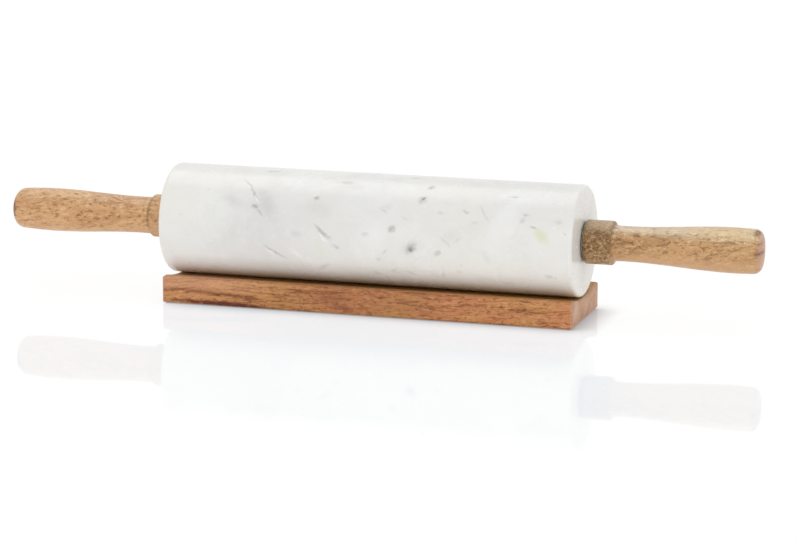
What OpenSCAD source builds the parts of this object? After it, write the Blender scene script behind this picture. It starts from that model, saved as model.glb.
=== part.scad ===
// Rolling pin with a stone barrel that turns on a steel rod between two
// turned wooden handles, lying in a scooped wooden cradle board.
// The pin lies along X and the cradle stands on Z = 0. The origin is on the
// cradle's underside, straight below the middle of the pin.

/* [Barrel] */
// Length of the stone barrel
roller_len = 250; // [180:1:320]
// Diameter of the stone barrel
roller_dia = 65; // [54:0.5:80]
// Radius that eases the barrel's end arrises
roller_edge = 2.2; // [0.8:0.1:5]
// Diameter of the hole drilled through the barrel
bore_dia = 14; // [13:0.5:17]

/* [Bushes and washers] */
// Length of a bush's sleeve inside the barrel
bush_len = 15; // [8:1:30]
// Diameter of the flange on a bush
flange_dia = 22; // [18:0.5:25]
// Thickness of the flange on a bush
flange_thick = 2; // [1.2:0.1:3.5]
// Depth of a flange's face below the barrel's end face
flange_sink = 0.2; // [0.1:0.05:0.6]
// Diameter of a thrust washer
washer_dia = 18; // [14:0.5:20]
// Thickness of a thrust washer
washer_thick = 1; // [0.6:0.1:2]

/* [Rod and inserts] */
// Diameter of the steel rod
rod_dia = 8; // [7:0.5:9]
// Diameter of the spigot at each end of the rod
spigot_dia = 6; // [4:0.5:6.5]
// Length of the spigot at each end of the rod
spigot_len = 16; // [10:1:17]
// Outside diameter of a metal insert
insert_dia = 12; // [11:0.5:14]
// Length of a metal insert
insert_len = 18; // [17:1:24]
// Depth of an insert's face below the handle's collar face
insert_sink = 4; // [2:0.5:8]

/* [Handles] */
// Length of a handle from its collar face to its tip
handle_len = 103; // [98:0.5:130]
// Diameter of the collar next to the barrel
collar_dia = 25.4; // [25.4:0.2:32]
// Radius that eases both arrises of the collar
collar_edge = 1.2; // [0.4:0.1:1.4]
// Length of the cove turned between the collar and the neck
cove_len = 3.5; // [2.5:0.5:6]
// Distance from the collar face to where the neck starts to swell
neck_end = 23.5; // [23.5:0.5:30]
// Height of the shallow crown on the tip
tip_crown = 0.9; // [0.4:0.1:2]

/* [Left handle] */
// Length of the left handle's collar
collar_len_left = 13.5; // [8:0.5:17.5]
// Diameter of the left handle's neck, its thinnest place
neck_dia_left = 21.8; // [20:0.2:22.4]
// Diameter of the left handle's swell, its thickest place
swell_dia_left = 25.8; // [25:0.1:32]
// Distance from the left handle's collar face to its swell
swell_at_left = 76; // [60:1:86]
// Narrowing of the left handle from its swell to its tip, on the radius
tip_narrow_left = 0.8; // [0.2:0.1:1]
// Radius that rounds the left handle's tip
tip_edge_left = 5.5; // [3:0.5:8]

/* [Right handle] */
// Length of the right handle's collar
collar_len_right = 16.5; // [8:0.5:17.5]
// Diameter of the right handle's neck, its thinnest place
neck_dia_right = 20.4; // [20:0.2:22.4]
// Diameter of the right handle's swell, its thickest place
swell_dia_right = 26.2; // [25:0.1:32]
// Distance from the right handle's collar face to its swell
swell_at_right = 86; // [60:1:86]
// Narrowing of the right handle from its swell to its tip, on the radius
tip_narrow_right = 0.3; // [0.2:0.1:1]
// Radius that rounds the right handle's tip
tip_edge_right = 4.5; // [3:0.5:8]

/* [Cradle] */
// Length of the cradle board
cradle_len = 249; // [160:1:320]
// Width of the cradle board
cradle_width = 62.5; // [56:0.5:90]
// Thickness of the cradle board
cradle_thick = 16; // [10:0.5:30]
// Depth of the scoop that the barrel lies in
scoop_depth = 3.2; // [2:0.1:5]
// Width of the lip on each side of the scoop
lip_width = 4.8; // [4.6:0.1:8]
// Radius that eases the board's long upper arrises
top_edge = 3.4; // [0.5:0.1:3.5]
// Radius that eases the board's ends and lower arrises and the scoop's ends
board_edge = 1.8; // [0.5:0.1:2.5]
// Radius that eases the scoop's long arrises
lip_edge = 4; // [1:0.5:5]
// Distance along X from the middle of the pin to the middle of the board
cradle_shift = 1.2; // [-3:0.1:3]

/* [Fits] */
// Gap around the rod where the bushes turn on it, on the radius
run_fit = 0.05; // [0.02:0.01:0.1]
// Gap around a piece that is pushed or glued in, on the radius
push_fit = 0.03; // [0.02:0.01:0.1]
// Gap between a thrust washer and the flange that turns against it
end_play = 0.2; // [0.1:0.05:0.5]
// Gap between the barrel and the bottom of the scoop
seat_gap = 0.3; // [0.1:0.05:0.5]

/* [Hidden] */

// Facets round a turned piece, and round the wide arc of the scoop
turn_fn = 96;
scoop_fn = 360;
// Steps along a rounded corner and along the curve of the handle's swell
arc_steps = 8;
swell_steps = 28;
// How far a cutter runs past what it cuts
cut_over = 1;

roller_r = roller_dia / 2;
// Height of the pin's axis
axis_z = cradle_thick - scoop_depth + seat_gap + roller_r;

// Distances along X from the middle of the pin, from the inside outwards
flange_face = roller_len / 2 - flange_sink;
washer_face = flange_face + end_play;
collar_face = washer_face + washer_thick;
insert_face = collar_face + insert_sink;
spigot_tip = insert_face + spigot_len;

// Circle that the scoop is cut with, through both inner arrises of the lips
scoop_half = cradle_width / 2 - lip_width;
scoop_r = (pow(scoop_half, 2) + pow(scoop_depth, 2)) / (2 * scoop_depth);
scoop_z = cradle_thick - scoop_depth + scoop_r;

stone_white = [0.92, 0.92, 0.9];
wood_light = [0.79, 0.62, 0.45];
wood_warm = [0.74, 0.5, 0.33];
nylon_white = [0.88, 0.87, 0.82];
steel_grey = [0.7, 0.71, 0.73];
brass_yellow = [0.78, 0.64, 0.34];

// Points along an arc about [cx, cy], from angle a0 to angle a1
function arc(cx, cy, r, a0, a1) = [
    for (i = [0 : arc_steps])
        let (a = a0 + (a1 - a0) * i / arc_steps)
        [cx + r * cos(a), cy + r * sin(a)]
];

// Rise from 0 to 1 that starts and ends level
function ease(t) = t * t * (3 - 2 * t);

// Outline of a rectangle centred on the origin, with rounded corners
function rounded_rect(w, h, r) = concat(
    arc(w / 2 - r, h / 2 - r, r, 0, 90),
    arc(r - w / 2, h / 2 - r, r, 90, 180),
    arc(r - w / 2, r - h / 2, r, 180, 270),
    arc(w / 2 - r, r - h / 2, r, 270, 360)
);

// Turns a profile of [radius, distance along X] about the pin's axis
module turned(start) {
    translate([start, 0, axis_z])
        rotate([0, 90, 0])
            rotate_extrude($fn = turn_fn)
                children();
}

// Ring-shaped profile between two diameters
module ring_profile(outer_dia, inner_dia, len) {
    translate([inner_dia / 2, 0])
        square([(outer_dia - inner_dia) / 2, len]);
}

// The same piece on the other side of the pin
module opposite() {
    mirror([1, 0, 0])
        children();
}

// Half section of the barrel: eased ends, the bore, and a seat for the
// flange of each bush
module roller_profile() {
    seat_r = flange_dia / 2 + push_fit;
    seat_depth = flange_thick + flange_sink;
    difference() {
        union() {
            square([roller_r - roller_edge, roller_len]);
            translate([0, roller_edge])
                square([roller_r, roller_len - 2 * roller_edge]);
            for (end = [roller_edge, roller_len - roller_edge])
                translate([roller_r - roller_edge, end])
                    circle(r = roller_edge, $fn = turn_fn);
        }
        translate([-cut_over, -cut_over])
            square([bore_dia / 2 + cut_over, roller_len + 2 * cut_over]);
        for (start = [-cut_over, roller_len - seat_depth])
            translate([-cut_over, start])
                square([seat_r + cut_over, seat_depth + cut_over]);
    }
}

module marble_roller() {
    color(stone_white)
        turned(-roller_len / 2)
            roller_profile();
}

// Flanged sleeve that is pushed into the barrel and turns on the rod
module bush() {
    hole_dia = rod_dia + 2 * run_fit;
    color(nylon_white)
        turned(flange_face - flange_thick - bush_len)
            union() {
                ring_profile(bore_dia - 2 * push_fit, hole_dia, bush_len + flange_thick);
                translate([0, bush_len])
                    ring_profile(flange_dia, hole_dia, flange_thick);
            }
}

module bush_right() {
    bush();
}

module bush_left() {
    opposite()
        bush();
}

// Thrust washer between a bush's flange and a handle's collar
module washer() {
    color(nylon_white)
        turned(washer_face)
            ring_profile(washer_dia, rod_dia + 2 * push_fit, washer_thick);
}

module washer_right() {
    washer();
}

module washer_left() {
    opposite()
        washer();
}

// Rod whose shoulders bear on the two inserts, with a spigot in each
module axle_rod() {
    color(steel_grey)
        turned(-spigot_tip)
            union() {
                square([spigot_dia / 2, 2 * spigot_tip]);
                translate([0, spigot_len])
                    square([rod_dia / 2, 2 * insert_face]);
            }
}

// Metal insert at the bottom of a handle's bore
module insert() {
    color(brass_yellow)
        turned(insert_face)
            ring_profile(insert_dia, spigot_dia + 2 * push_fit, insert_len);
}

module insert_right() {
    insert();
}

module insert_left() {
    opposite()
        insert();
}

// Outline of a handle as [radius, distance from the collar face]: collar
// with eased arrises, cove, neck, long swell, rounded tip and its crown
function handle_outline(
    collar_len, neck_dia, swell_dia, swell_at, tip_narrow, tip_edge
) =
    let (
        collar_r = collar_dia / 2,
        neck_r = neck_dia / 2,
        swell_r = swell_dia / 2,
        cove_rise = collar_r - collar_edge - neck_r,
        tip_start = handle_len - tip_crown - tip_edge,
        crown_half = swell_r - tip_narrow - tip_edge,
        crown_r = (pow(crown_half, 2) + pow(tip_crown, 2)) / (2 * tip_crown)
    )
    concat(
        [[0, 0]],
        arc(collar_r - collar_edge, collar_edge, collar_edge, -90, 0),
        arc(collar_r - collar_edge, collar_len - collar_edge, collar_edge, 0, 90),
        [
            for (i = [1 : arc_steps])
                let (a = 90 * i / arc_steps)
                [neck_r + cove_rise * (1 - sin(a)), collar_len + cove_len * (1 - cos(a))]
        ],
        [
            for (i = [0 : swell_steps])
                let (t = i / swell_steps)
                [neck_r + (swell_r - neck_r) * ease(t), neck_end + (swell_at - neck_end) * t]
        ],
        [
            for (i = [1 : arc_steps - 1])
                let (t = i / arc_steps)
                [swell_r - tip_narrow * t * t, swell_at + (tip_start - swell_at) * t]
        ],
        arc(crown_half, tip_start, tip_edge, 0, 90),
        [
            for (i = [1 : arc_steps])
                let (a = asin(crown_half / crown_r) * (1 - i / arc_steps))
                [crown_r * sin(a), handle_len - crown_r * (1 - cos(a))]
        ]
    );

// Turned handle with the blind bore for its insert
module handle(outline) {
    bore_r = insert_dia / 2 + push_fit;
    bore_len = insert_sink + insert_len;
    color(wood_light)
        turned(collar_face)
            difference() {
                polygon(outline);
                translate([-cut_over, -cut_over])
                    square([bore_r + cut_over, bore_len + cut_over]);
            }
}

module handle_right() {
    handle(handle_outline(
        collar_len_right, neck_dia_right, swell_dia_right,
        swell_at_right, tip_narrow_right, tip_edge_right
    ));
}

module handle_left() {
    opposite()
        handle(handle_outline(
            collar_len_left, neck_dia_left, swell_dia_left,
            swell_at_left, tip_narrow_left, tip_edge_left
        ));
}

// Section of the board across its length, as [y, z], with all its long
// arrises eased. The scoop is cut out of it afterwards, through the
// tangent points where the lips' easing ends.
function board_section() =
    let (
        low_side = cradle_width / 2 - board_edge,
        top_side = cradle_width / 2 - top_edge,
        lip_drop = scoop_z - cradle_thick + lip_edge,
        lip_y = sqrt(pow(scoop_r + lip_edge, 2) - pow(lip_drop, 2)),
        lip_turn = asin(lip_y / (scoop_r + lip_edge)),
        top = cradle_thick - top_edge
    )
    concat(
        arc(-low_side, board_edge, board_edge, 180, 270),
        arc(low_side, board_edge, board_edge, 270, 360),
        arc(top_side, top, top_edge, 0, 90),
        arc(lip_y, cradle_thick - lip_edge, lip_edge, 90, 90 + lip_turn),
        arc(-lip_y, cradle_thick - lip_edge, lip_edge, 90 - lip_turn, 90),
        arc(-top_side, top, top_edge, 90, 180)
    );

// Block that leaves the board's eased outline seen from the end, from
// above and from the side
module eased_board() {
    intersection() {
        translate([-cradle_len / 2, 0, 0])
            rotate([90, 0, 90])
                linear_extrude(height = cradle_len)
                    polygon(board_section());
        linear_extrude(height = cradle_thick)
            polygon(rounded_rect(cradle_len, cradle_width, board_edge));
        translate([0, cradle_width / 2, cradle_thick / 2])
            rotate([90, 0, 0])
                linear_extrude(height = cradle_width)
                    polygon(rounded_rect(cradle_len, cradle_thick, board_edge));
    }
}

// Solid that is turned about the scoop's own axis
module scoop_turned() {
    translate([0, 0, scoop_z])
        rotate([0, 90, 0])
            rotate_extrude($fn = scoop_fn)
                children();
}

// Ring that eases the arris of the scoop at one end of the board
module scoop_end_ease() {
    ease_start = cradle_len / 2 - board_edge;
    scoop_turned()
        difference() {
            translate([scoop_r - cut_over, ease_start])
                square([board_edge + cut_over, board_edge + cut_over]);
            translate([scoop_r + board_edge, ease_start])
                circle(r = board_edge, $fn = turn_fn);
        }
}

module cradle() {
    color(wood_warm)
        translate([cradle_shift, 0, 0])
            difference() {
                eased_board();
                scoop_turned()
                    translate([0, -cradle_len / 2 - cut_over])
                        square([scoop_r, cradle_len + 2 * cut_over]);
                scoop_end_ease();
                opposite()
                    scoop_end_ease();
            }
}

marble_roller();
bush_left();
bush_right();
axle_rod();
washer_left();
washer_right();
insert_left();
insert_right();
handle_left();
handle_right();
cradle();
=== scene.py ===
"""Looks of a marble rolling pin that lies on its wooden cradle board."""
import math

import bmesh
import bpy
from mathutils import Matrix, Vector


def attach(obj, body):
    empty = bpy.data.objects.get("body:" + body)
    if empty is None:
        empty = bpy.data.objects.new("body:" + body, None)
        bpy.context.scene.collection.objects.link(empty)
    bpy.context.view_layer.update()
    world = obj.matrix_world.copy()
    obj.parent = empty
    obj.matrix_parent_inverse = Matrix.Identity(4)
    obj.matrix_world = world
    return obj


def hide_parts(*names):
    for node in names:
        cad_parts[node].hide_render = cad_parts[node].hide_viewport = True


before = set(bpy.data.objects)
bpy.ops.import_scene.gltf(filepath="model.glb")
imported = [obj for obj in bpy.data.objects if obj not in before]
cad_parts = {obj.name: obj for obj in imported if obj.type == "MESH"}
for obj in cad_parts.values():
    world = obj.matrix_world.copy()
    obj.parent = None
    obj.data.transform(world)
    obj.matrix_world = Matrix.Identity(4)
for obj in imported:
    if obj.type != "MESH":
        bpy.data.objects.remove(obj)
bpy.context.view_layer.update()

MM = 0.001

# Sizes of the pin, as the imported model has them, in metres
AXIS_HEIGHT = 45.6 * MM
BARREL_RADIUS = 32.5 * MM
COLLAR_FACE = 126 * MM
HANDLE_LENGTH = 103 * MM
BOARD_MIDDLE = 1.2 * MM
BOARD_HALF_LENGTH = 124.5 * MM
BOARD_HALF_WIDTH = 31.25 * MM

# Sizes of the turned handles in metres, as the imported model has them, and how far
# the turner's hand leaves the long swell below its true outline
BOTH_HANDLES = {
    "Axis Height": AXIS_HEIGHT,
    "Collar Face": COLLAR_FACE,
    "Handle Length": HANDLE_LENGTH,
    "Bore Radius": 6.03 * MM,
    "Bore Depth": 22 * MM,
    "Collar Radius": 12.7 * MM,
    "Collar Ease": 1.2 * MM,
    "Cove Length": 3.5 * MM,
    "Neck End": 23.5 * MM,
    "Crown": 0.9 * MM,
    "Unevenness": 0.14 * MM,
}
LEFT_HANDLE = {
    "Side": -1.0,
    "Collar Length": 13.5 * MM,
    "Neck Radius": 10.9 * MM,
    "Swell Radius": 12.9 * MM,
    "Swell At": 76 * MM,
    "Tip Narrow": 0.8 * MM,
    "Tip Ease": 5.5 * MM,
    "Seed": 3.0,
}
RIGHT_HANDLE = {
    "Side": 1.0,
    "Collar Length": 16.5 * MM,
    "Neck Radius": 10.2 * MM,
    "Swell Radius": 13.1 * MM,
    "Swell At": 86 * MM,
    "Tip Narrow": 0.3 * MM,
    "Tip Ease": 4.5 * MM,
    "Seed": 8.0,
}

# Facets round a handle. Its unevenness has waves to the metre along it and waves round
# it, and is full from so many rows behind the collar to so many before the tip's edge.
# Then how near points are welded into one, and how sharp an edge has to be to stay so.
HANDLE_FACETS = 128
WAVES_ALONG = 90
WAVES_ROUND = 0.6
ROWS_BEHIND_COLLAR = 12
ROWS_BEFORE_TIP = 10
WELD_DISTANCE = 1e-6
SHARP_EDGE = math.radians(40)

# Camera: where it looks, from where in degrees and metres, and through which lens
CAMERA_TARGET = (12.72 * MM, 0.0, 21.13 * MM)
CAMERA_AZIMUTH = 17.30
CAMERA_ELEVATION = 11.92
CAMERA_DISTANCE = 1.855
CAMERA_LENS = 143.3
CAMERA_SENSOR = 36.0
CAMERA_SEES_TO = 50.0

# Light: the room's own level; the suns, each with its place, its turn in degrees, its
# strength and how wide it shines from, in degrees; and the strip that shows in gloss
ROOM_LIGHT = 0.66
SUNS = {
    "overhead_light": ((0.0, 0.0, 2.0), (0, 0, 0), 0.17, 100),
    "front_light": ((0.0, -2.0, 0.6), (74, 0, 10), 0.12, 70),
    "side_light": ((2.0, 0.0, 0.6), (0, 76, 0), 0.05, 50),
}
GLOSS_STRIP_PLACE = (0.0, 0.30, 1.1)
GLOSS_STRIP = {"shape": "RECTANGLE", "size": 1.8, "size_y": 0.8, "energy": 6.0}

# The table top: half its width, how far it lies below the board, and its tones as a
# node takes them. Soft, mirror and glow are what is seen of it. Pale is what it gives back
# to the lighting, and lift a glow that adds light to the object though the table is no
# lamp. The contact shade has a reach, a direction that it is measured in, so that it
# leans to the right of the object, and a darkest value.
TABLE_HALF = 6.0
TABLE_GAP = 0.3 * MM
TABLE_SOFT = (0.15, 0.15, 0.15, 1.0)
TABLE_MIRROR = (0.20, 0.155, 0.13, 1.0)
TABLE_MIRROR_ROUGHNESS = 0.03
TABLE_GLOW = (0.68, 0.725, 0.75, 1.0)
TABLE_PALE = (0.97, 0.97, 0.97, 1.0)
TABLE_LIFT = 0.09
CONTACT_REACH = 18 * MM
CONTACT_LEAN = (-0.6, 0.0, 0.8)
CONTACT_DARKEST = 0.42
WHITE = (1.0, 1.0, 1.0, 1.0)
BLACK = (0.0, 0.0, 0.0, 1.0)


class Wire:
    """The output of a node, on which sums can be written."""

    def __init__(self, nodes, socket):
        self.nodes = nodes
        self.socket = socket

    def __add__(self, other):
        return self.nodes.math("ADD", self, other)

    def __radd__(self, other):
        return self.nodes.math("ADD", other, self)

    def __sub__(self, other):
        return self.nodes.math("SUBTRACT", self, other)

    def __rsub__(self, other):
        return self.nodes.math("SUBTRACT", other, self)

    def __mul__(self, other):
        return self.nodes.math("MULTIPLY", self, other)

    def __rmul__(self, other):
        return self.nodes.math("MULTIPLY", other, self)

    def __truediv__(self, other):
        return self.nodes.math("DIVIDE", self, other)

    def __rtruediv__(self, other):
        return self.nodes.math("DIVIDE", other, self)

    def __pow__(self, other):
        return self.nodes.math("POWER", self, other)

    def __rpow__(self, other):
        return self.nodes.math("POWER", other, self)

    def __neg__(self):
        return 0 - self


class Nodes:
    """A tree of nodes that is being built."""

    def __init__(self, tree):
        self.tree = tree
        tree.nodes.clear()

    def node(self, kind, settings=None, sockets=None, out=0):
        """Adds a node: its settings first, then the values or wires of its sockets."""
        made = self.tree.nodes.new(kind)
        for name, value in (settings or {}).items():
            setattr(made, name, value)
        for key, value in (sockets or {}).items():
            if isinstance(value, Wire):
                self.tree.links.new(value.socket, made.inputs[key])
            else:
                made.inputs[key].default_value = value
        return Wire(self, made.outputs[out]) if made.outputs else None

    def math(self, operation, *values):
        return self.node("ShaderNodeMath", {"operation": operation}, dict(enumerate(values)))

    def vector_math(self, operation, first, second, out=0):
        settings = {"operation": operation}
        return self.node("ShaderNodeVectorMath", settings, {0: first, 1: second}, out)

    def span(self, value, low, high, to_low=0.0, to_high=1.0):
        """Soft step of a value from one range to another."""
        sockets = {
            "Value": value,
            "From Min": low,
            "From Max": high,
            "To Min": to_low,
            "To Max": to_high,
        }
        return self.node("ShaderNodeMapRange", {"interpolation_type": "SMOOTHSTEP"}, sockets)

    def noise(self, place, scale, detail, roughness, distortion=0.0):
        """Noise with about so many waves to the metre."""
        sockets = {
            "Vector": place,
            "Scale": scale,
            "Detail": detail,
            "Roughness": roughness,
            "Distortion": distortion,
        }
        return self.node("ShaderNodeTexNoise", None, sockets)

    def streaks(self, place, along, across, detail, roughness, distortion=0.0):
        """Noise with its own number of waves to the metre along x and across it."""
        drawn = self.vector_math("MULTIPLY", place, (along, across, across))
        return self.noise(drawn, 1.0, detail, roughness, distortion)

    def mix(self, factor, first, second):
        sockets = {0: factor, 6: first, 7: second}
        return self.node("ShaderNodeMix", {"data_type": "RGBA"}, sockets, out=2)

    def split(self, vector):
        """The three parts of a vector."""
        parts = self.node("ShaderNodeSeparateXYZ", None, {0: vector})
        return [Wire(self, output) for output in parts.socket.node.outputs]

    def join(self, x, y, z):
        return self.node("ShaderNodeCombineXYZ", None, {0: x, 1: y, 2: z})


def shade(red, green, blue):
    """A colour of the sRGB scale from 0 to 255, as the linear colour that a node takes."""
    def linear(value):
        part = value / 255
        return part / 12.92 if part <= 0.04045 else ((part + 0.055) / 1.055) ** 2.4
    return (linear(red), linear(green), linear(blue), 1.0)


def new_finish(name):
    material = bpy.data.materials.new(name)
    material.use_nodes = True
    return material, Nodes(material.node_tree)


def object_place(n):
    return n.node("ShaderNodeTexCoord", out="Object")


def coat(n, colour, where, share, tone):
    """Lays a tone over a colour where a mask says so, with that share at the most."""
    amount = where if share == 1 else where * share
    return n.mix(amount, colour, shade(*tone))


def coats(n, colour, masks, table):
    """Lays the tones of a table over a colour one by one, in the order of their masks."""
    for name, where in masks.items():
        colour = coat(n, colour, where, *table[name])
    return colour


def close_finish(n, sockets, bump, bump_depth, bump_strength=1.0):
    """Ends a finish in its surface shader and its bump, which is so many metres deep."""
    relief = {"Strength": bump_strength, "Distance": bump_depth, "Height": bump}
    normal = n.node("ShaderNodeBump", None, relief)
    surface = n.node("ShaderNodeBsdfPrincipled", None, {**sockets, "Normal": normal})
    n.node("ShaderNodeOutputMaterial", None, {"Surface": surface})


# Marks in the stone. Marks under one key share their tilt in degrees and how many
# times longer than wide they are. Each row is a mark's place along the barrel and
# around it from the front, its width, all in millimetres, and its depth of colour.
DARK_MARKS = {
    (-57, 7.0): [
        (-67.6, 24.0, 2.0, 0.50),
        (72.8, 19.1, 1.8, 0.26),
        (-84.0, 88.0, 1.8, 0.46),
        (-58.0, -66.0, 2.0, 0.48),
    ],
    (-42, 5.0): [
        (-73.2, 31.4, 1.5, 0.30),
        (-63.6, 13.6, 1.7, 0.60),
        (-23.2, 2.9, 2.4, 0.62),
        (50.7, 1.6, 1.8, 0.20),
        (8.0, 92.0, 2.6, 0.42),
        (-77.0, 80.0, 1.8, 0.50),
        (92.0, -81.0, 2.4, 0.42),
    ],
    (-34, 11.0): [
        (-52.5, -11.3, 1.6, 0.50),
    ],
    (-25, 2.8): [
        (-15.2, -5.4, 2.2, 0.40),
        (12.9, 17.2, 1.6, 0.30),
        (25.0, 13.8, 1.8, 0.26),
        (7.8, -22.3, 2.3, 0.40),
        (102.4, 12.6, 1.5, 0.55),
        (61.7, 19.7, 1.8, 0.36),
        (28.4, -20.6, 2.2, 0.36),
        (52.0, 66.0, 2.2, 0.40),
    ],
    (2, 4.4): [
        (-61.5, 44.5, 2.0, 0.55),
        (-13.5, 36.3, 2.8, 0.40),
        (87.9, 31.9, 1.6, 0.45),
        (25.5, 46.4, 2.2, 0.45),
        (66.0, -52.0, 1.6, 0.40),
        (-99.0, -54.0, 2.0, 0.36),
    ],
    (0, 1.6): [
        (-65.5, 15.4, 3.0, 0.60),
        (-29.1, 23.2, 2.5, 0.60),
        (2.9, 3.2, 2.8, 0.30),
        (10.1, -11.7, 2.3, 0.26),
        (46.5, 18.0, 2.4, 0.26),
        (67.6, 13.3, 1.8, 0.26),
        (96.8, 19.8, 2.0, 0.46),
        (116.5, 16.5, 3.0, 0.24),
        (57.8, -17.4, 2.6, 0.28),
        (111.0, -16.8, 3.0, 0.46),
        (-110.5, 8.0, 2.0, 0.20),
        (17.0, 84.0, 3.0, 0.60),
        (-49.0, -74.0, 3.2, 0.50),
        (-9.0, -58.0, 3.4, 0.58),
    ],
    (40, 1.35): [
        (19.0, 7.0, 3.8, 0.75),
        (30.3, -3.4, 6.0, 0.60),
        (29.6, -4.6, 3.0, 0.45),
        (34.8, 25.9, 4.6, 0.66),
        (35.6, 26.6, 2.0, 0.60),
        (37.4, 36.0, 3.4, 0.60),
        (46.3, -5.6, 3.3, 0.72),
        (95.6, 16.4, 2.8, 0.40),
        (-41.0, 71.0, 4.2, 0.50),
        (73.0, 90.0, 4.2, 0.60),
        (36.0, -72.0, 5.0, 0.60),
    ],
    (38, 3.4): [
        (58.0, 2.4, 2.0, 0.20),
        (14.6, -6.7, 1.4, 0.34),
        (18.8, -19.2, 1.7, 0.36),
        (-24.0, -20.0, 3.0, 0.26),
        (101.0, 74.0, 2.0, 0.36),
        (3.0, -84.0, 2.2, 0.36),
    ],
    (68, 5.0): [
        (48.5, -20.0, 2.0, 0.24),
    ],
}

# Wide soft patches that are a little greyer than the stone round them
GREY_PATCHES = {
    (-57, 2.2): [
        (-59.0, 18.0, 13.0, 0.55),
        (75.0, -6.0, 6.0, 0.35),
        (20.0, -78.0, 16.0, 0.50),
    ],
    (-20, 1.8): [
        (-80.0, 18.5, 10.0, 0.55),
        (-26.0, 16.5, 12.0, 0.35),
        (-38.7, 0.7, 4.6, 0.55),
        (-8.0, 33.0, 8.0, 0.30),
        (44.0, 80.0, 17.0, 0.50),
    ],
    (25, 1.6): [
        (-62.0, 4.0, 58.0, 0.50),
        (14.0, 19.5, 7.0, 0.35),
        (31.0, -3.0, 13.0, 0.40),
        (54.0, 5.0, 10.0, 0.30),
        (84.0, 28.0, 8.0, 0.30),
        (-95.0, -62.0, 16.0, 0.45),
        (-30.0, 88.0, 15.0, 0.45),
    ],
}

# Small places where the stone is lighter, mostly beside a dark streak
LIGHT_MARKS = {
    (-50, 5.0): [
        (-64.9, 19.8, 1.2, 0.9),
        (-22.8, -0.6, 1.4, 1.0),
        (-39.0, -11.6, 2.2, 0.6),
        (-55.6, -11.4, 1.6, 0.6),
    ],
    (68, 5.0): [
        (50.0, -17.0, 1.3, 0.6),
    ],
    (0, 1.5): [
        (114.1, 12.8, 1.5, 1.0),
        (-30.8, 24.2, 1.5, 0.6),
        (81.0, 32.0, 3.6, 0.5),
    ],
}

# Yellow-green blotches
GREEN_MARKS = {
    (-42, 1.7): [
        (107.2, 8.2, 9.0, 1.0),
        (-24.0, -9.0, 12.0, 0.25),
    ],
}

# The stone's ground and the tones laid over it, each with its largest share
STONE_GROUND = (235, 234, 231)
STONE_COATS = {
    "white_clouds": (1, (244, 244, 242)),
    "cream_clouds": (0.55, (240, 238, 230)),
    "grey_clouds": (0.35, (227, 226, 224)),
    "threads": (0.2, (200, 200, 198)),
    "spots": (0.35, (180, 180, 178)),
    "grey_patches": (1, (216, 215, 213)),
    "green_marks": (1, (228, 230, 206)),
    "dark_marks": (1, (150, 150, 149)),
    "light_marks": (1, (250, 249, 244)),
}

# The stone's noises: waves to the metre, detail, roughness and distortion
STONE_NOISES = {
    "clouds": (22, 4, 0.55, 0.6),
    "cream": (14, 2, 0.5),
    "small_clouds": (75, 3, 0.5, 0.3),
    "folds": (16, 5, 0.55, 1.1),
    "threaded": (19, 2, 0.5),
    "ragged": (330, 4, 0.6),
    "wander": (210, 2, 0.5),
    "fine": (1900, 3, 0.6),
    "worn": (48, 4, 0.6),
}
SPOTS_TO_THE_METRE = 95.0

# How rough the stone is, at its smoothest and its roughest
STONE_ROUGHNESS = (0.2, 0.3)

# How far noise moves the edges of the stone's marks, how much wider than its row says
# a dark or light mark is, and the parts of its half width at which any mark is gone
# and is full
MARK_WANDER = 2.6 * MM
VEIN_SPREAD = 1.3
MARK_GONE = 1.15
MARK_FULL = 0.1

# Parts of the barrel's radius between which the side's marks come in, so that the end
# faces stay free of them
SIDE_STARTS = 0.9
SIDE_FULL = 0.97


def soft_marks(n, flat, table, spread=1.0):
    """Adds up the soft oval marks of a table, each as wide as its row says times spread."""
    total = 0.0
    for (tilt, aspect), rows in table.items():
        turn = math.radians(tilt)
        shared = n.node("ShaderNodeMapping", {"vector_type": "TEXTURE"}, {
            "Vector": flat,
            "Rotation": (0.0, 0.0, turn),
            "Scale": (aspect, 1.0, 1.0),
        })
        for along, around, width, depth in rows:
            centre = (
                (along * math.cos(turn) + around * math.sin(turn)) / aspect * MM,
                (around * math.cos(turn) - along * math.sin(turn)) * MM,
                0.0,
            )
            away = n.vector_math("DISTANCE", shared, centre, out="Value")
            half = width / 2 * spread * MM
            total = total + n.span(away, half * MARK_GONE, half * MARK_FULL, 0.0, depth)
    return total


def rolled_flat(n, place):
    """Coordinates along and around the barrel, and how near a point is to its side."""
    x, y, z = n.split(place)
    up = z - AXIS_HEIGHT
    turn = n.math("ARCTAN2", up, -y)
    radius = (up * up + y * y) ** 0.5
    side = n.span(radius, BARREL_RADIUS * SIDE_STARTS, BARREL_RADIUS * SIDE_FULL)
    return x, turn * BARREL_RADIUS, side


def clouded_stone(n, noise):
    """The stone between its marks: soft clouds and a few thin threads."""
    ridge = n.math("ABSOLUTE", noise["folds"] - 0.5)
    masks = {
        "white_clouds": n.span(noise["clouds"], 0.36, 0.64),
        "cream_clouds": n.span(noise["cream"], 0.40, 0.66),
        "grey_clouds": n.span(noise["small_clouds"], 0.55, 0.75),
        "threads": n.span(ridge, 0.03, 0.0) * n.span(noise["threaded"], 0.54, 0.70),
    }
    return coats(n, shade(*STONE_GROUND), masks, STONE_COATS)


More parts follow.
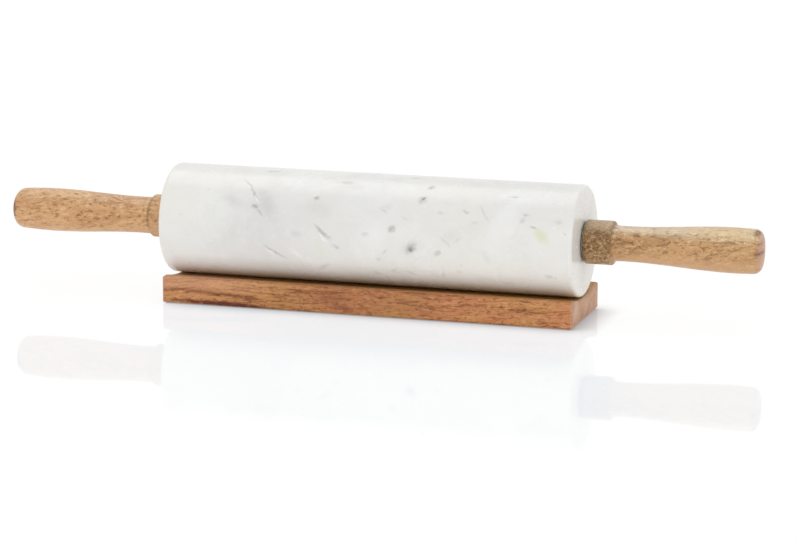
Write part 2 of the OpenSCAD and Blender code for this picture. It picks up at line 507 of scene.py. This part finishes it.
def stone_finish():
    """Off-white marble with soft clouds, short veins and grey spots, ground smooth."""
    material, n = new_finish("stone")
    place = object_place(n)
    noise = {name: n.noise(place, *row) for name, row in STONE_NOISES.items()}
    ragged = noise["ragged"]
    along, around, side = rolled_flat(n, place)
    along = along + (noise["wander"] - 0.5) * MARK_WANDER
    around = around + (ragged - 0.5) * MARK_WANDER
    flat = n.join(along, around, 0.0)

    cells = n.node("ShaderNodeTexVoronoi", None, {"Vector": flat, "Scale": SPOTS_TO_THE_METRE})
    spots = n.span(cells, 0.16, 0.04) * n.span(ragged, 0.5, 0.62)
    patches = soft_marks(n, flat, GREY_PATCHES)
    dark = soft_marks(n, flat, DARK_MARKS, VEIN_SPREAD) * side
    dark = dark * n.span(ragged, 0.3, 0.62, 0.4, 1.0)
    masks = {
        "spots": spots * side,
        "grey_patches": patches * side * n.span(ragged, 0.25, 0.6, 0.6, 1.0),
        "green_marks": soft_marks(n, flat, GREEN_MARKS) * side,
        "dark_marks": dark,
        "light_marks": soft_marks(n, flat, LIGHT_MARKS, VEIN_SPREAD) * side,
    }
    close_finish(n, {
        "Base Color": coats(n, clouded_stone(n, noise), masks, STONE_COATS),
        "Roughness": n.span(noise["worn"], 0.3, 0.7, *STONE_ROUGHNESS) + dark * 0.1,
        "IOR": 1.5,
    }, bump=noise["fine"] - dark * 0.6, bump_depth=0.01 * MM)
    return material


# Marks on the board's front face, by their place along it and above the table, in the
# same four columns as the stone's marks
BOARD_MARKS = {
    (0, 4.5): [
        (-116.0, 2.2, 3.0, 0.70),
        (-107.0, 2.0, 3.6, 0.85),
        (-98.0, 1.8, 4.0, 0.95),
        (-89.0, 1.7, 4.4, 1.00),
        (-80.0, 1.5, 4.8, 1.00),
        (-71.0, 1.3, 4.2, 1.00),
        (-62.0, 1.1, 3.2, 0.80),
        (-53.0, 0.9, 2.6, 0.60),
        (-34.0, 0.5, 2.6, 0.50),
        (40.0, 0.4, 2.2, 0.40),
        (84.0, 0.4, 2.4, 0.45),
    ],
    (-3, 9.0): [
        (-112.0, 9.0, 2.8, 0.36),
        (-94.0, 7.6, 4.4, 0.46),
        (-76.0, 6.8, 3.8, 0.52),
        (-50.0, 9.0, 2.2, 0.30),
        (-12.0, 9.5, 3.2, 0.36),
        (14.0, 7.0, 2.6, 0.30),
        (66.0, 10.5, 2.4, 0.30),
    ],
    (-8, 3.0): [
        (-22.0, 8.5, 9.0, 0.30),
        (-10.0, 3.6, 5.0, 0.60),
        (-16.0, 6.0, 2.6, 0.30),
        (-44.0, 6.2, 3.0, 0.25),
        (-70.0, 5.6, 4.0, 0.28),
        (34.0, 8.6, 3.0, 0.28),
        (97.0, 9.0, 6.0, 0.38),
    ],
}

# Marks on the front of the handles' tips, by their place along the pin and above the
# table
TIP_MARKS = {
    (0, 1.3): [
        (226.0, 57.0, 4.6, 0.95),
        (228.0, 46.2, 3.4, 0.85),
        (227.6, 51.4, 2.0, 0.50),
        (226.8, 36.6, 2.0, 0.45),
    ],
    (90, 2.4): [
        (-226.4, 47.6, 5.4, 1.00),
    ],
}

# Marks on the board's ends, by their place across it and above the table
END_MARKS = {
    (40, 2.0): [
        (-9.0, 3.4, 5.5, 0.60),
        (4.0, 2.0, 4.0, 0.45),
        (12.0, 6.0, 4.5, 0.30),
        (-25.0, 2.0, 5.0, 0.25),
    ],
    (90, 1.6): [
        (29.0, 13.5, 5.0, 0.55),
        (30.5, 7.0, 3.0, 0.40),
    ],
}

# Paler places on the board's ends, in the same columns
END_LIGHTS = {
    (50, 1.5): [
        (-22.0, 9.0, 13.0, 0.50),
        (2.0, 7.5, 8.0, 0.30),
    ],
}

# The woods' noises: waves to the metre along and across the grain, detail, roughness
# and distortion. Each handle's short-flecked grain has a row of its own in its wood.
HANDLE_NOISES = {
    "bands": (8, 80, 3, 0.5, 0.5),
    "rays": (50, 260, 3, 0.6, 0.6),
    "specks": (620, 1500, 2, 0.5),
    "mottle": (640, 760, 3, 0.6, 0.8),
}
BOARD_NOISES = {
    "patches": (17, 50, 3, 0.5, 0.4),
    "lines": (34, 440, 4, 0.62, 1.0),
    "grain": (300, 700, 3, 0.6, 0.9),
}
FIBRE_NOISE = (90, 2100, 3, 0.65)

# How rough wood and nylon are, at their smoothest and their roughest, and how much
# rougher a turned metal is where its rings are roughest than where they are smoothest
WOOD_ROUGHNESS = (0.34, 0.48)
NYLON_ROUGHNESS = (0.38, 0.5)
METAL_RING_ROUGHNESS = 0.16

# The grain's bends in the blank: noise in waves to the metre, detail and roughness,
# and how far they go from side to side
BEND_NOISE = (14, 2, 0.5)
BEND_WIDTH = 9 * MM

# The two handles' woods. Pale, tan, brown and fleck are tones of the wood, and collar is
# the tone of its collar. The blank says where in the tree the piece was cut. Crowding is
# how much the flecks thicken towards the collar. The next share is how far a painted
# highlight, a pale band, covers the top, and the one after it how far the underside is
# painted paler and less flecked, as painted light. The collar_tone is the share of the
# collar's own tones, and the last share that of the painted shade in the corner behind it.
LEFT_WOOD = {
    "pale": (224, 177, 126),
    "tan": (208, 158, 109),
    "brown": (176, 122, 76),
    "fleck": (130, 78, 42),
    "collar": (146, 104, 62),
    "blank": (0.0, 0.0, 0.0),
    "grain": (230, 640, 3, 0.62, 0.45),
    "crowding": 0.0,
    "top_highlight": 0.1,
    "low_side": 0.24,
    "collar_length": LEFT_HANDLE["Collar Length"],
    "collar_tone": 0.08,
    "corner_shade": 0.8,
}
RIGHT_WOOD = {
    "pale": (206, 160, 110),
    "tan": (182, 136, 88),
    "brown": (144, 99, 56),
    "fleck": (110, 73, 37),
    "collar": (134, 102, 62),
    "blank": (0.31, 0.17, 0.05),
    "grain": (205, 500, 3, 0.62, 1.2),
    "crowding": 0.08,
    "top_highlight": 0.7,
    "low_side": 0.6,
    "collar_length": RIGHT_HANDLE["Collar Length"],
    "collar_tone": 0.5,
    "corner_shade": 0.5,
}

# How the handles' blanks and the board were turned in the tree, in degrees, and where
# in it the board was cut
HANDLE_TILT = (0, 9, 7)
BOARD_TILT = (0, 2.5, 1.5)
BOARD_BLANK = (0.07, 0.4, 0.2)

# Largest shares of a wood's own tones on its handle
RAY_SHARE = 0.55
FLECK_SHARE = 0.68
SPECK_SHARE = 0.34
# The share of brown flecks within the painted highlight along the top
TOP_HIGHLIGHT_RAY_SHARE = 0.3

# Tones that both handles have, each with its largest share. The underside's tone is
# painted light, and the bright flecks of the pale top band are part of its painted
# highlight. The collar's shares are taken times the wood's collar_tone; the top one is a
# painted highlight along the collar's top, and the edge one painted shade at the collar's
# edge next to the stone.
HANDLE_COATS = {
    "bright_flecks": (0.6, (236, 198, 152)),
    "low_side": (0.75, (226, 182, 138)),
    "top_highlight_flecks": (0.5, (240, 218, 178)),
    "end_grain": (0.5, (204, 158, 136)),
    "tip_marks": (1, (104, 54, 28)),
}
COLLAR_COATS = {
    "top": (1, (214, 192, 158)),
    "mottle": (1.5, (88, 62, 30)),
    "glints": (1, (214, 188, 142)),
    "shaded_edge": (0.9, (92, 74, 34)),
}
# Painted shade in the corner behind the collar
PAINTED_CORNER_SHADE = (112, 80, 38)
# Tones of the painted highlight along the top, by the neck and by the tip
TOP_HIGHLIGHT_BY_NECK = (228, 213, 186)
TOP_HIGHLIGHT_BY_TIP = (232, 208, 164)

# The board's ground and the tones laid over it, each with its largest share. The tone
# after the flecks is painted shade on the top of the lip, under the barrel.
BOARD_ROSE = (196, 128, 80)
BOARD_COATS = {
    "honey_patches": (1, (200, 142, 82)),
    "dark_lines": (0.85, (138, 72, 38)),
    "pale_lines": (0.5, (222, 168, 120)),
    "dark_flecks": (0.62, (112, 54, 26)),
    "bright_flecks": (0.5, (226, 172, 118)),
    "shaded_lip": (0.55, (142, 96, 34)),
    "scoop": (0.6, (192, 146, 64)),
    "middle": (0.22, (122, 70, 26)),
    "left_end": (0.4, (220, 166, 132)),
    "front_marks": (1, (100, 38, 12)),
    "end_grain": (0.6, (202, 156, 126)),
    "end_marks": (1, (126, 90, 60)),
    "end_lights": (1, (228, 196, 172)),
}


def in_the_wood(n, shift, tilt):
    """Coordinates in the blank that a piece was cut from, along its gently bent grain."""
    place = n.node("ShaderNodeMapping", None, {
        "Vector": object_place(n),
        "Location": shift,
        "Rotation": tuple(math.radians(angle) for angle in tilt),
    })
    x, y, z = n.split(place)
    sway = (n.noise(place, *BEND_NOISE) - 0.5) * BEND_WIDTH
    return n.join(x, y + sway, z + sway)


def close_wood(n, place, colour, pores, raised):
    """Ends a wood finish: oiled, with open pores and fibres that stand up a little."""
    fibres = n.streaks(place, *FIBRE_NOISE)
    oil = n.noise(place, 120, 3, 0.6)
    close_finish(n, {
        "Base Color": colour,
        "Roughness": n.span(oil, 0.3, 0.7, *WOOD_ROUGHNESS) + pores * 0.14,
        "IOR": 1.46,
    }, bump=fibres * 0.4 + raised * 0.5 - pores, bump_depth=0.12 * MM, bump_strength=0.7)


def flecked_wood(n, wood, noise, crowded, low_side):
    """A handle's wood all over, painted paler and less flecked on the underside as painted
    light, and the masks of its dark and its bright flecks.
    """
    dark = n.span(noise["grain"] + crowded, 0.53, 0.67) * (1 - low_side)
    bright = n.span(noise["grain"], 0.46, 0.33)
    rays = n.span(noise["rays"] + crowded, 0.50, 0.72)
    specks = n.span(noise["specks"], 0.56, 0.70)
    bands = n.span(noise["bands"], 0.36, 0.64)
    colour = n.mix(bands, shade(*wood["tan"]), shade(*wood["pale"]))
    colour = coat(n, colour, rays, RAY_SHARE, wood["brown"])
    colour = coat(n, colour, dark, FLECK_SHARE, wood["fleck"])
    colour = coat(n, colour, bright, *HANDLE_COATS["bright_flecks"])
    colour = coat(n, colour, specks, SPECK_SHARE, wood["fleck"])
    colour = coat(n, colour, low_side, *HANDLE_COATS["low_side"])
    return colour, dark, bright


def add_top_highlight(n, colour, wood, noise, out, up, dark, bright):
    """Painted highlight: a pale band with a ragged border along the top of a handle, faint by its
    collar.
    """
    ragged_up = up + noise["bands"] * (5 * MM) - noise["grain"] * (7 * MM)
    highlight_mask = n.span(ragged_up, 4 * MM, 9.5 * MM) * n.span(out, 12 * MM, 20 * MM, 0.3, 1.0)
    near_neck = n.span(out, 85 * MM, 40 * MM)
    tone = n.mix(near_neck, shade(*TOP_HIGHLIGHT_BY_TIP), shade(*TOP_HIGHLIGHT_BY_NECK))
    colour = n.mix(highlight_mask * wood["top_highlight"], colour, tone)
    colour = coat(n, colour, highlight_mask * dark, TOP_HIGHLIGHT_RAY_SHARE, wood["brown"])
    return coat(n, colour, highlight_mask * bright, *HANDLE_COATS["top_highlight_flecks"])


def add_collar(n, colour, wood, noise, out, up):
    """The collar's darker and mottled wood, with a painted highlight along its top and
    painted shade at its edge next to the stone.
    """
    length = wood["collar_length"]
    mottle = noise["mottle"]
    on_collar = n.span(out, length + 2 * MM, length - 2 * MM)
    below_top = n.span(up, 12 * MM, 6 * MM, 0.5, 1.0)
    masks = {
        # Painted highlight along the collar's top
        "top": on_collar * n.span(up + mottle * (14 * MM), 14 * MM, 20 * MM),
        "mottle": on_collar * (n.span(mottle, 0.49, 0.61) * below_top),
        "glints": on_collar * n.span(mottle, 0.45, 0.37),
        # Painted shade at the collar's edge next to the stone
        "shaded_edge": n.span(out, 3.5 * MM, 0.6 * MM),
    }
    most = wood["collar_tone"]
    table = {name: (share * most, tone) for name, (share, tone) in COLLAR_COATS.items()}
    colour = coat(n, colour, on_collar, most, wood["collar"])
    return coats(n, colour, masks, table)


def paint_corner_shade(n, colour, wood, noise, out, up):
    """Painted shade in the corner behind the collar, less of it on the underside."""
    from_corner = n.math("ABSOLUTE", out - wood["collar_length"])
    corner = n.span(from_corner, 1.9 * MM, 0.3 * MM)
    corner = corner * n.span(noise["grain"], 0.42, 0.56, 0.5, 1.0)
    corner = corner * n.span(up, -6 * MM, 2 * MM, 0.35, 1.0)
    return coat(n, colour, corner, wood["corner_shade"], PAINTED_CORNER_SHADE)


def handle_wood_finish(name, wood):
    """Turned and oiled light wood, mottled all over with short dark and pale flecks."""
    material, n = new_finish(name)
    x, y, z = n.split(object_place(n))
    out = n.math("ABSOLUTE", x) - COLLAR_FACE
    up = z - AXIS_HEIGHT
    place = in_the_wood(n, wood["blank"], HANDLE_TILT)
    noises = {**HANDLE_NOISES, "grain": wood["grain"]}
    noise = {key: n.streaks(place, *row) for key, row in noises.items()}

    crowded = n.span(out, 30 * MM, 0.0) * wood["crowding"]
    # Painted light on the underside, painted highlights along the top and the collar's top, and
    # painted shade at the collar's edge and in the corner behind it are laid below
    low_side = n.span(up, -1 * MM, -8 * MM) * wood["low_side"]
    colour, dark, bright = flecked_wood(n, wood, noise, crowded, low_side)
    colour = add_top_highlight(n, colour, wood, noise, out, up, dark, bright)
    end = n.span(out, HANDLE_LENGTH - 2.8 * MM, HANDLE_LENGTH - 1 * MM)
    colour = coat(n, colour, end, *HANDLE_COATS["end_grain"])
    colour = add_collar(n, colour, wood, noise, out, up)
    colour = paint_corner_shade(n, colour, wood, noise, out, up)
    marks = soft_marks(n, n.join(x, z, 0.0), TIP_MARKS) * n.span(y, 1 * MM, -1 * MM)
    marks = marks * n.span(noise["grain"], 0.40, 0.56, 0.6, 1.0)
    colour = coat(n, colour, marks, *HANDLE_COATS["tip_marks"])
    close_wood(n, place, colour, dark, bright)
    return material


def lined_board(n, noise, dark, bright):
    """The board's wood all over: rosy and honey patches, long lines and short flecks."""
    masks = {
        "honey_patches": n.span(noise["patches"], 0.38, 0.60),
        "dark_lines": n.span(noise["lines"], 0.48, 0.66),
        "pale_lines": n.span(noise["lines"], 0.46, 0.30),
        "dark_flecks": dark,
        "bright_flecks": bright,
    }
    return coats(n, shade(*BOARD_ROSE), masks, BOARD_COATS)


def board_places(n, grain, x, y, z):
    """Masks of the places on the board that have a tone of their own, in the order in
    which the tones are laid. The first is painted shade on the top of the lip, under the
    barrel."""
    inwards = BOARD_HALF_WIDTH - n.math("ABSOLUTE", y)
    from_end = BOARD_HALF_LENGTH - n.math("ABSOLUTE", x - BOARD_MIDDLE)
    ragged_z = z + (grain - 0.5) * (3 * MM)
    front = n.span(y + BOARD_HALF_WIDTH, 2 * MM, 0.8 * MM)
    front_marks = soft_marks(n, n.join(x, z, 0.0), BOARD_MARKS) * front
    end = n.span(from_end, 1.7 * MM, 0.5 * MM)
    end_flat = n.join(y, z, 0.0)
    end_marks = soft_marks(n, end_flat, END_MARKS) * end
    return {
        # Painted shade on the top of the lip, just inside its front edge, under the barrel
        "shaded_lip": n.span(inwards, 0.8 * MM, 4.6 * MM) * n.span(z, 10 * MM, 12.4 * MM),
        "scoop": n.span(inwards, 4.6 * MM, 9 * MM) * n.span(z, 9 * MM, 12 * MM),
        "middle": n.span(x, -75 * MM, -45 * MM) * n.span(x, 75 * MM, 20 * MM),
        "left_end": n.span(x, -45 * MM, -95 * MM) * n.span(ragged_z, 7 * MM, 11 * MM),
        "front_marks": front_marks * n.span(grain, 0.36, 0.54, 0.65, 1.0),
        "end_grain": end,
        "end_marks": end_marks * n.span(grain, 0.38, 0.54, 0.5, 1.0),
        "end_lights": soft_marks(n, end_flat, END_LIGHTS) * end,
    }


def board_wood_finish():
    """Sawn and sanded warm wood with long wavy lines, in rosy and honey patches."""
    material, n = new_finish("board_wood")
    x, y, z = n.split(object_place(n))
    place = in_the_wood(n, BOARD_BLANK, BOARD_TILT)
    noise = {key: n.streaks(place, *row) for key, row in BOARD_NOISES.items()}
    dark = n.span(noise["grain"], 0.52, 0.67)
    bright = n.span(noise["grain"], 0.46, 0.32)
    places = board_places(n, noise["grain"], x, y, z)
    colour = coats(n, lined_board(n, noise, dark, bright), places, BOARD_COATS)
    close_wood(n, place, colour, dark, bright)
    return material


def turned_metal_finish(name, light_tone, dark_tone, smoothest):
    """Bright metal with fine rings from the lathe."""
    material, n = new_finish(name)
    place = object_place(n)
    rings = n.streaks(place, 2600, 60, 3, 0.6)
    dull = n.span(n.noise(place, 140, 3, 0.6), 0.35, 0.7)
    roughest = smoothest + METAL_RING_ROUGHNESS
    close_finish(n, {
        "Base Color": coat(n, shade(*light_tone), dull, 1, dark_tone),
        "Metallic": 1.0,
        "Roughness": n.span(rings, 0.3, 0.7, smoothest, roughest),
    }, bump=rings, bump_depth=0.02 * MM)
    return material


def nylon_finish():
    """Off-white moulded nylon, slightly waxy."""
    material, n = new_finish("moulded_nylon")
    place = object_place(n)
    milky = n.span(n.noise(place, 90, 3, 0.5), 0.35, 0.65)
    grain = n.noise(place, 2600, 2, 0.5)
    close_finish(n, {
        "Base Color": coat(n, shade(226, 223, 212), milky, 1, (236, 234, 226)),
        "Roughness": n.span(grain, 0.3, 0.7, *NYLON_ROUGHNESS),
        "IOR": 1.53,
    }, bump=grain, bump_depth=0.03 * MM)
    return material


def seen_directly(n):
    """1 for what the camera sees directly, in gloss or through glass, and 0 for lighting."""
    path = n.node("ShaderNodeLightPath", out="Is Camera Ray")
    outputs = path.socket.node.outputs
    seen = n.math("MAXIMUM", path, Wire(n, outputs["Is Glossy Ray"]))
    return n.math("MAXIMUM", seen, Wire(n, outputs["Is Transmission Ray"]))


def seen_table_top(n):
    """What is seen of the table top: soft white with a faint mirror and contact shade."""
    open_sky = n.node("ShaderNodeAmbientOcclusion", {"samples": 12}, {
        "Distance": CONTACT_REACH,
        "Normal": n.join(*CONTACT_LEAN),
    }, out="AO")
    contact = n.span(open_sky, 0.2, 1.0, CONTACT_DARKEST, 1.0)
    soft = n.node("ShaderNodeBsdfDiffuse", None, {"Color": TABLE_SOFT})
    mirror = n.node("ShaderNodeBsdfAnisotropic", None, {
        "Color": TABLE_MIRROR,
        "Roughness": TABLE_MIRROR_ROUGHNESS,
    })
    glow = n.node("ShaderNodeEmission", None, {"Color": n.mix(contact, BLACK, TABLE_GLOW)})
    looks = n.node("ShaderNodeAddShader", None, {0: soft, 1: mirror})
    return n.node("ShaderNodeAddShader", None, {0: looks, 1: glow})


def table_top_finish():
    """White glossy table top, which shows the object faintly upside down."""
    material, n = new_finish("white_table_top")
    pale = n.node("ShaderNodeBsdfDiffuse", None, {"Color": TABLE_PALE})
    lift = n.node("ShaderNodeEmission", None, {"Color": WHITE, "Strength": TABLE_LIFT})
    given_back = n.node("ShaderNodeAddShader", None, {0: pale, 1: lift})
    sockets = {0: seen_directly(n), 1: given_back, 2: seen_table_top(n)}
    surface = n.node("ShaderNodeMixShader", None, sockets)
    n.node("ShaderNodeOutputMaterial", None, {"Surface": surface})
    return material


def lay_table_top():
    corners = [
        (-TABLE_HALF, -TABLE_HALF, -TABLE_GAP),
        (TABLE_HALF, -TABLE_HALF, -TABLE_GAP),
        (TABLE_HALF, TABLE_HALF, -TABLE_GAP),
        (-TABLE_HALF, TABLE_HALF, -TABLE_GAP),
    ]
    mesh = bpy.data.meshes.new("table_top")
    mesh.from_pydata(corners, [], [(0, 1, 2, 3)])
    mesh.materials.append(table_top_finish())
    table_top = bpy.data.objects.new("table_top", mesh)
    bpy.context.scene.collection.objects.link(table_top)


class Outline:
    """Outline of a turned piece, drawn stretch by stretch over the rows of a grid."""

    def __init__(self, n, row):
        self.n = n
        self.row = row
        self.rows = 0
        self.along = 0.0
        self.radius = 0.0

    def part(self, rows):
        """How much of the next stretch lies behind a row, from 0 to 1."""
        sockets = {"Value": self.row, "From Min": self.rows, "From Max": self.rows + rows}
        self.rows += rows
        return self.n.node("ShaderNodeMapRange", None, sockets)

    def add(self, along, radius):
        self.along = self.along + along
        self.radius = self.radius + radius

    def straight(self, rows, along, radius):
        part = self.part(rows)
        self.add(along * part, radius * part)

    def quarter(self, rows, first, last):
        """Quarter of an oval that sets out along its first move and ends along its last."""
        turn = self.part(rows) * (math.pi / 2)
        sine = self.n.math("SINE", turn)
        fall = 1 - self.n.math("COSINE", turn)
        self.add(first[0] * sine + last[0] * fall, first[1] * sine + last[1] * fall)

    def swell(self, rows, along, radius):
        """Rise that starts and ends level."""
        part = self.part(rows)
        self.add(along * part, radius * (part * part * (3 - 2 * part)))

    def taper(self, rows, along, radius):
        """Fall that starts level."""
        part = self.part(rows)
        self.add(along * part, radius * (part * part))

    def crown(self, rows, along, radius):
        """Shallow dome that ends level on the axis."""
        part = self.part(rows)
        self.add(along * (part * (2 - part)), radius * part)


def handle_outline(n, row, size):
    """A handle's outline from the bottom of its bore round to the middle of its tip, and
    the mask of the swell, which is where the turner's hand leaves it uneven."""
    ease = size["Collar Ease"]
    neck_drop = size["Neck Radius"] - size["Collar Radius"] + ease
    swell_rise = size["Swell Radius"] - size["Neck Radius"]
    tip_ease = size["Tip Ease"]
    tip_start = size["Handle Length"] - size["Crown"] - tip_ease
    crown_half = size["Swell Radius"] - size["Tip Narrow"] - tip_ease
    outline = Outline(n, row)
    outline.add(size["Bore Depth"], 0.0)
    outline.straight(1, 0.0, size["Bore Radius"])
    outline.straight(2, -size["Bore Depth"], 0.0)
    outline.straight(2, 0.0, size["Collar Radius"] - ease - size["Bore Radius"])
    outline.quarter(8, (0.0, ease), (ease, 0.0))
    outline.straight(8, size["Collar Length"] - 2 * ease, 0.0)
    outline.quarter(8, (ease, 0.0), (0.0, -ease))
    collar_end = outline.rows
    outline.quarter(8, (0.0, neck_drop), (size["Cove Length"], 0.0))
    neck_start = size["Collar Length"] + size["Cove Length"]
    outline.straight(6, size["Neck End"] - neck_start, 0.0)
    outline.swell(48, size["Swell At"] - size["Neck End"], swell_rise)
    outline.taper(14, tip_start - size["Swell At"], -size["Tip Narrow"])
    outline.quarter(14, (tip_ease, 0.0), (0.0, -tip_ease))
    tip_edge = outline.rows
    outline.crown(12, size["Crown"], -crown_half)
    uneven = n.span(row, collar_end, collar_end + ROWS_BEHIND_COLLAR)
    return outline, uneven * n.span(row, outline.rows, tip_edge - ROWS_BEFORE_TIP)


def handle_tree():
    """Tree that turns a handle: its outline is carried round the pin's axis."""
    tree = bpy.data.node_groups.new("turned_handle", "GeometryNodeTree")
    tree.is_modifier = True
    tree.interface.new_socket("Handle", in_out="OUTPUT", socket_type="NodeSocketGeometry")
    for name in (*BOTH_HANDLES, *LEFT_HANDLE):
        tree.interface.new_socket(name, in_out="INPUT", socket_type="NodeSocketFloat")
    tree.interface.new_socket("Wood", in_out="INPUT", socket_type="NodeSocketMaterial")
    n = Nodes(tree)
    inlet = n.node("NodeGroupInput").socket.node
    size = {socket.name: Wire(n, socket) for socket in inlet.outputs if socket.name}

    ring = HANDLE_FACETS + 1
    index = n.node("GeometryNodeInputIndex")
    row = n.math("FLOOR", index / ring)
    turn = (index - row * ring) * (2 * math.pi / HANDLE_FACETS)
    cosine = n.math("COSINE", turn)
    sine = n.math("SINE", turn)
    outline, uneven = handle_outline(n, row, size)
    wave_place = n.join(outline.along * WAVES_ALONG, cosine * WAVES_ROUND, sine * WAVES_ROUND)
    wave = n.node("ShaderNodeTexNoise", {"noise_dimensions": "4D"}, {
        "Vector": wave_place,
        "W": size["Seed"],
        "Scale": 1.0,
        "Detail": 2.0,
    })
    radius = outline.radius - size["Unevenness"] * wave * uneven
    place = n.join(
        size["Side"] * (size["Collar Face"] + outline.along),
        cosine * radius,
        size["Axis Height"] + sine * radius,
    )
    grid = n.node("GeometryNodeMeshGrid", None, {
        "Size X": 1.0,
        "Size Y": 1.0,
        "Vertices X": outline.rows + 1,
        "Vertices Y": ring,
    })
    shell = n.node("GeometryNodeSetPosition", None, {"Geometry": grid, "Position": place})
    weld = {"Geometry": shell, "Distance": WELD_DISTANCE}
    shell = n.node("GeometryNodeMergeByDistance", None, weld)
    shell = n.node("GeometryNodeRealizeInstances", None, {"Geometry": shell})
    shell = n.node("GeometryNodeSetMaterial", None, {"Geometry": shell, "Material": size["Wood"]})
    n.node("NodeGroupOutput", None, {"Handle": shell})
    return tree


def clean_turning(mesh):
    """Welds a turned mesh, points its faces outwards and makes all but sharp edges smooth."""
    turned = bmesh.new()
    turned.from_mesh(mesh)
    bmesh.ops.remove_doubles(turned, verts=turned.verts, dist=WELD_DISTANCE)
    bmesh.ops.recalc_face_normals(turned, faces=turned.faces)
    for face in turned.faces:
        face.smooth = True
    turned.to_mesh(mesh)
    turned.free()
    mesh.set_sharp_from_angle(angle=SHARP_EDGE)


def turn_handle(name, node, tree, own_sizes, wood):
    """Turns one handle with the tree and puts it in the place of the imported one."""
    piece = bpy.data.objects.new(name, bpy.data.meshes.new("blank"))
    bpy.context.scene.collection.objects.link(piece)
    turning = piece.modifiers.new("turning", "NODES")
    turning.node_group = tree
    values = {**BOTH_HANDLES, **own_sizes, "Wood": wood}
    for item in tree.interface.items_tree:
        if item.in_out == "INPUT":
            turning[item.identifier] = values[item.name]
    shaped = piece.evaluated_get(bpy.context.evaluated_depsgraph_get())
    mesh = bpy.data.meshes.new_from_object(shaped)
    piece.modifiers.remove(turning)
    piece.data = mesh
    clean_turning(mesh)
    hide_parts(node)
    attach(piece, "handles")


def add_lamp(name, kind, place, settings):
    lamp = bpy.data.lights.new(name, kind)
    for key, value in settings.items():
        setattr(lamp, key, value)
    holder = bpy.data.objects.new(name, lamp)
    holder.location = place
    bpy.context.scene.collection.objects.link(holder)
    return holder


def light_studio():
    """A white room with soft suns overhead, in front and at the right side, and a strip
    that shows in gloss."""
    world = bpy.data.worlds.new("white_room")
    bpy.context.scene.world = world
    world.use_nodes = True
    n = Nodes(world.node_tree)
    level = seen_directly(n) * (1.0 - ROOM_LIGHT) + ROOM_LIGHT
    back = n.node("ShaderNodeBackground", None, {"Color": WHITE, "Strength": level})
    n.node("ShaderNodeOutputWorld", None, {"Surface": back})

    for name, (place, turn, strength, width) in SUNS.items():
        settings = {"energy": strength * math.pi, "angle": math.radians(width)}
        sun = add_lamp(name, "SUN", place, settings)
        sun.rotation_euler = [math.radians(angle) for angle in turn]
        sun.visible_glossy = False
    strip = add_lamp("gloss_strip", "AREA", GLOSS_STRIP_PLACE, GLOSS_STRIP)
    strip.visible_diffuse = False


def place_camera():
    azimuth = math.radians(CAMERA_AZIMUTH)
    elevation = math.radians(CAMERA_ELEVATION)
    back = Vector((
        math.sin(azimuth) * math.cos(elevation),
        -math.cos(azimuth) * math.cos(elevation),
        math.sin(elevation),
    ))
    data = bpy.data.cameras.new("photo_camera")
    data.lens = CAMERA_LENS
    data.sensor_width = CAMERA_SENSOR
    data.clip_end = CAMERA_SEES_TO
    camera = bpy.data.objects.new("photo_camera", data)
    camera.location = Vector(CAMERA_TARGET) + back * CAMERA_DISTANCE
    camera.rotation_euler = back.to_track_quat("Z", "Y").to_euler()
    bpy.context.scene.collection.objects.link(camera)
    bpy.context.scene.camera = camera


def set_finish(names, material):
    for name in names:
        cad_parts[name].material_slots[0].material = material


def dress_pieces():
    left_wood = handle_wood_finish("handle_wood_left", LEFT_WOOD)
    right_wood = handle_wood_finish("handle_wood_right", RIGHT_WOOD)
    steel = turned_metal_finish("turned_steel", (196, 197, 200), (172, 173, 177), 0.24)
    brass = turned_metal_finish("turned_brass", (206, 176, 104), (178, 146, 78), 0.26)
    set_finish(["marble_roller"], stone_finish())
    set_finish(["handle_left"], left_wood)
    set_finish(["handle_right"], right_wood)
    tree = handle_tree()
    turn_handle("turned_handle_left", "handle_left", tree, LEFT_HANDLE, left_wood)
    turn_handle("turned_handle_right", "handle_right", tree, RIGHT_HANDLE, right_wood)
    set_finish(["cradle"], board_wood_finish())
    set_finish(["bush_left", "bush_right", "washer_left", "washer_right"], nylon_finish())
    set_finish(["axle_rod"], steel)
    set_finish(["insert_left", "insert_right"], brass)


place_camera()
lay_table_top()
light_studio()
dress_pieces()
bpy.context.scene.view_settings.view_transform = "Standard"
